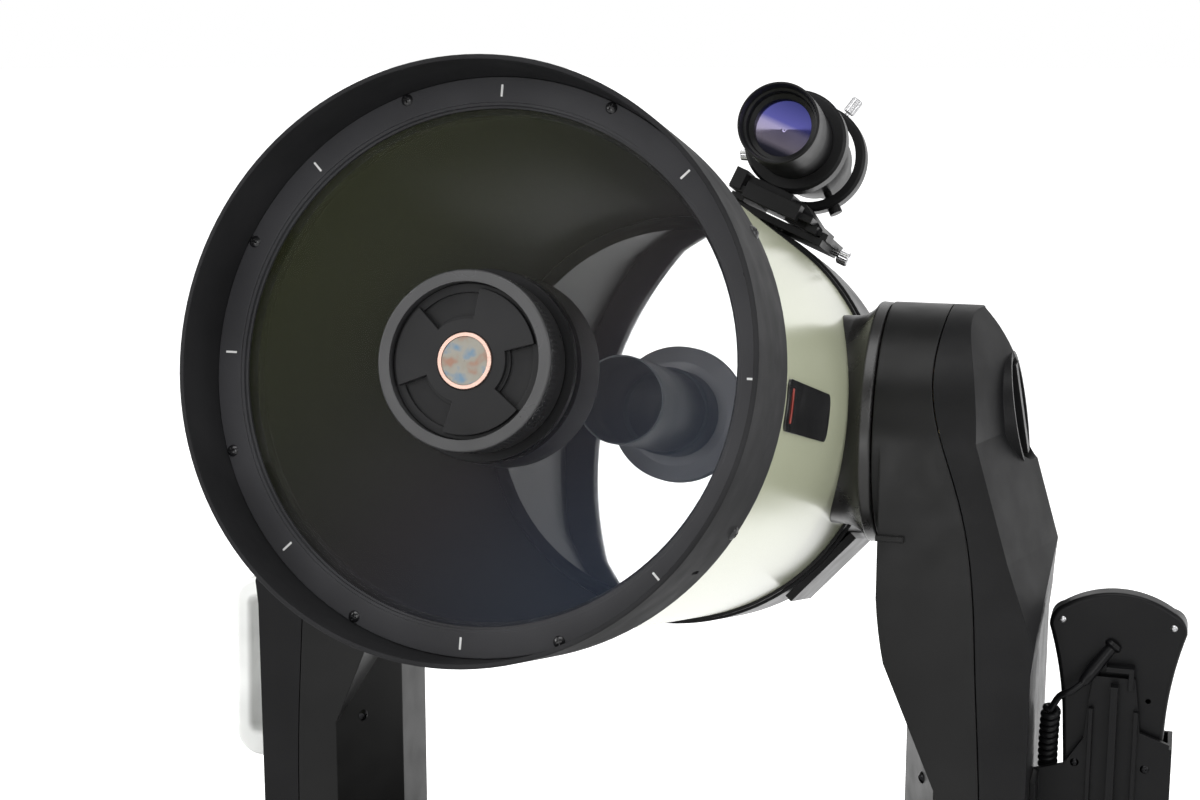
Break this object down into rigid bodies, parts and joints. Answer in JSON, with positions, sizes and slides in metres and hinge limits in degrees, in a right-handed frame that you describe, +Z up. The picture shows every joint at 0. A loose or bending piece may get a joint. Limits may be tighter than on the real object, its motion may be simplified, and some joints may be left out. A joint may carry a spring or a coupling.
{
  "type": "schmidt cassegrain telescope",
  "caption": "Schmidt-Cassegrain telescope on a motorised two-arm fork, with finder, star diagonal, hand control in its cradle and a round turntable base.",
  "frame": {"origin": "on the azimuth axis, at the plane of the feet's undersides, where the pivot bore opens", "axes": "+Z up along the azimuth axis, -Y where the telescope points with the arms either side, +X towards the arm with the hand control"},
  "size_m": [0.7253, 0.7081, 0.7571],
  "materials": {
    "cast_black": "satin black paint on cast aluminium",
    "label_grey": "fine textured dark grey powder coat",
    "tube_paint": "gloss khaki metallic paint",
    "corrector_glass": "coated optical glass",
    "mirror_coat": "polished mirror coating",
    "black_plastic": "satin black moulded plastic",
    "textured_plastic": "fine textured black moulded plastic",
    "handle_grey": "light grey moulded plastic",
    "steel": "plain steel",
    "screw_black": "black oxide steel",
    "brass": "machined brass",
    "bearing_bronze": "sintered bronze",
    "cast_grey": "as-cast aluminium",
    "rubber": "black moulded rubber",
    "key_rubber": "grey silicone keys",
    "cord_black": "satin black cord jacket",
    "finder_glass": "purple coated lens"
  },
  "bodies": {
    "base": {"lower_base": "cast_black", "base_feet": "rubber", "azimuth_worm_wheel": "brass"},
    "fork": {"turntable": "cast_black", "turntable_housing": "textured_plastic", "axis_bearings": "bearing_bronze", "drive_motors": "steel", "left_arm_inner_cover": "black_plastic", "left_arm_outer_cover": "textured_plastic", "right_arm_inner_cover": "black_plastic", "right_arm_outer_cover": "textured_plastic", "arm_frames": "cast_grey", "fork_cover_screws": "steel", "carrying_handle": "handle_grey", "hand_control_back": "black_plastic", "hand_control_front": "black_plastic", "hand_control_number_pad": "key_rubber", "hand_control_cradle": "black_plastic", "cord_strain_relief": "cord_black", "cord_upper_lead": "cord_black", "cord_coil": "cord_black", "cord_lower_lead": "cord_black", "cord_plug": "black_plastic"},
    "telescope": {"front_cell": "cast_black", "label_ring": "label_grey", "front_cell_screws": "screw_black", "corrector_plate": "corrector_glass", "secondary_housing": "cast_black", "secondary_cover": "cast_black", "secondary_mirror": "mirror_coat", "optical_tube": "tube_paint", "rear_cell": "cast_black", "primary_baffle_tube": "cast_black", "visual_back": "cast_black", "finder_tube": "cast_black", "finder_lenses": "finder_glass", "finder_bracket": "cast_black", "finder_shoe": "cast_black", "altitude_hubs": "cast_black", "altitude_worm_wheel": "brass"},
    "mirror": {"primary_mirror": "mirror_coat", "mirror_carriage": "cast_grey"},
    "diagonal": {"star_diagonal": "cast_black"},
    "eyepiece_body": {"eyepiece": "cast_black"},
    "secondary_knurled_ring_body": {"secondary_knurled_ring": "cast_black"},
    "focus_knob_body": {"focus_knob": "black_plastic"},
    "mirror_lock_right_body": {"mirror_lock_right": "black_plastic"},
    "mirror_lock_left_body": {"mirror_lock_left": "black_plastic"},
    "finder_shoe_screw_body": {"finder_shoe_screw": "steel"},
    "finder_screw_1_body": {"finder_screw_1": "steel"},
    "finder_screw_2_body": {"finder_screw_2": "steel"},
    "altitude_worm_body": {"altitude_worm": "steel"},
    "azimuth_worm_body": {"azimuth_worm": "steel"},
    "altitude_clutch_knob_body": {"altitude_clutch_knob": "black_plastic"},
    "azimuth_clutch_lever_body": {"azimuth_clutch_lever": "black_plastic"},
    "power_switch_body": {"power_switch": "black_plastic"},
    "direction_key_up_body": {"direction_key_up": "key_rubber"},
    "direction_key_down_body": {"direction_key_down": "key_rubber"},
    "direction_key_left_body": {"direction_key_left": "key_rubber"},
    "direction_key_right_body": {"direction_key_right": "key_rubber"}
  },
  "joints": [
    {"name": "azimuth", "type": "hinge", "parent": "base", "child": "fork", "pos_m": [0, 0, 0], "axis": [0, 0, 1], "continuous": true},
    {"name": "azimuth_worm_spin", "type": "hinge", "parent": "fork", "child": "azimuth_worm_body", "pos_m": [0, 0.0764, 0.084], "axis": [1, 0, 0], "continuous": true},
    {"name": "altitude", "type": "hinge", "parent": "fork", "child": "telescope", "pos_m": [0, 0, 0.5], "axis": [-1, 0, 0], "range_deg": [-19.1, 75.9]},
    {"name": "altitude_worm_spin", "type": "hinge", "parent": "fork", "child": "altitude_worm_body", "pos_m": [0.211, 0, 0.4336], "axis": [0, 1, 0], "range_deg": [-7200, 7200]},
    {"name": "altitude_clutch", "type": "hinge", "parent": "fork", "child": "altitude_clutch_knob_body", "pos_m": [0.263, 0, 0.515], "axis": [0.9854, 0, 0.1701], "range_deg": [0, 90]},
    {"name": "azimuth_clutch", "type": "hinge", "parent": "fork", "child": "azimuth_clutch_lever_body", "pos_m": [-0.096, -0.112, 0.112], "axis": [0, 0, 1], "range_deg": [0, 60]},
    {"name": "focus", "type": "hinge", "parent": "telescope", "child": "focus_knob_body", "pos_m": [0.056, 0.14931, 0.41713], "axis": [0, 0.9699, -0.2436], "range_deg": [-2160, 2160]},
    {"name": "mirror_travel", "type": "slide", "parent": "telescope", "child": "mirror", "axis": [0, 0.9699, -0.2436], "range_m": [-0.00449, 0.00449]},
    {"name": "mirror_lock_right_turn", "type": "hinge", "parent": "telescope", "child": "mirror_lock_right_body", "pos_m": [0.108, 0.15518, 0.46102], "axis": [0, 0.9699, -0.2436], "range_deg": [0, 720]},
    {"name": "mirror_lock_left_turn", "type": "hinge", "parent": "telescope", "child": "mirror_lock_left_body", "pos_m": [-0.108, 0.15518, 0.46102], "axis": [0, 0.9699, -0.2436], "range_deg": [0, 720]},
    {"name": "diagonal_turn", "type": "hinge", "parent": "telescope", "child": "diagonal", "pos_m": [0, 0.17943, 0.45493], "axis": [0, 0.9699, -0.2436], "continuous": true},
    {"name": "eyepiece_turn", "type": "hinge", "parent": "diagonal", "child": "eyepiece_body", "pos_m": [0, 0.23622, 0.49222], "axis": [0, 0.2436, 0.9699], "continuous": true},
    {"name": "secondary_ring_turn", "type": "hinge", "parent": "telescope", "child": "secondary_knurled_ring_body", "pos_m": [0, -0.3637, 0.59136], "axis": [0, 0.9699, -0.2436], "range_deg": [0, 720]},
    {"name": "finder_shoe_screw_turn", "type": "hinge", "parent": "telescope", "child": "finder_shoe_screw_body", "pos_m": [0.10971, 0.12199, 0.60392], "axis": [0.9205, -0.0952, -0.379], "range_deg": [0, 720]},
    {"name": "finder_screw_1_turn", "type": "hinge", "parent": "telescope", "child": "finder_screw_1_body", "pos_m": [0.11527, 0.15181, 0.71442], "axis": [0.5736, 0.1996, 0.7945], "range_deg": [-360, 360]},
    {"name": "finder_screw_2_turn", "type": "hinge", "parent": "telescope", "child": "finder_screw_2_body", "pos_m": [0.03666, 0.14247, 0.67723], "axis": [-0.9986, 0.0127, 0.0508], "range_deg": [-360, 360]},
    {"name": "power_switch_rock", "type": "hinge", "parent": "fork", "child": "power_switch_body", "pos_m": [0.04, -0.173, 0.083], "axis": [1, 0, 0], "range_deg": [0, 14]},
    {"name": "direction_key_up_press", "type": "slide", "parent": "fork", "child": "direction_key_up_body", "axis": [0, -1, 0], "range_m": [0, 0.0012], "stiffness_N_per_m": 500, "springref_m": -0.0004},
    {"name": "direction_key_down_press", "type": "slide", "parent": "fork", "child": "direction_key_down_body", "axis": [0, -1, 0], "range_m": [0, 0.0012], "stiffness_N_per_m": 500, "springref_m": -0.0004},
    {"name": "direction_key_left_press", "type": "slide", "parent": "fork", "child": "direction_key_left_body", "axis": [0, -1, 0], "range_m": [0, 0.0012], "stiffness_N_per_m": 500, "springref_m": -0.0004},
    {"name": "direction_key_right_press", "type": "slide", "parent": "fork", "child": "direction_key_right_body", "axis": [0, -1, 0], "range_m": [0, 0.0012], "stiffness_N_per_m": 500, "springref_m": -0.0004}
  ],
  "couplings": [
    {"joint": "azimuth_worm_spin", "follows": "azimuth", "ratio": 90},
    {"joint": "altitude_worm_spin", "follows": "altitude", "ratio": -90},
    {"joint": "focus", "follows": "mirror_travel", "rad_per_m": 8377.6}
  ]
}
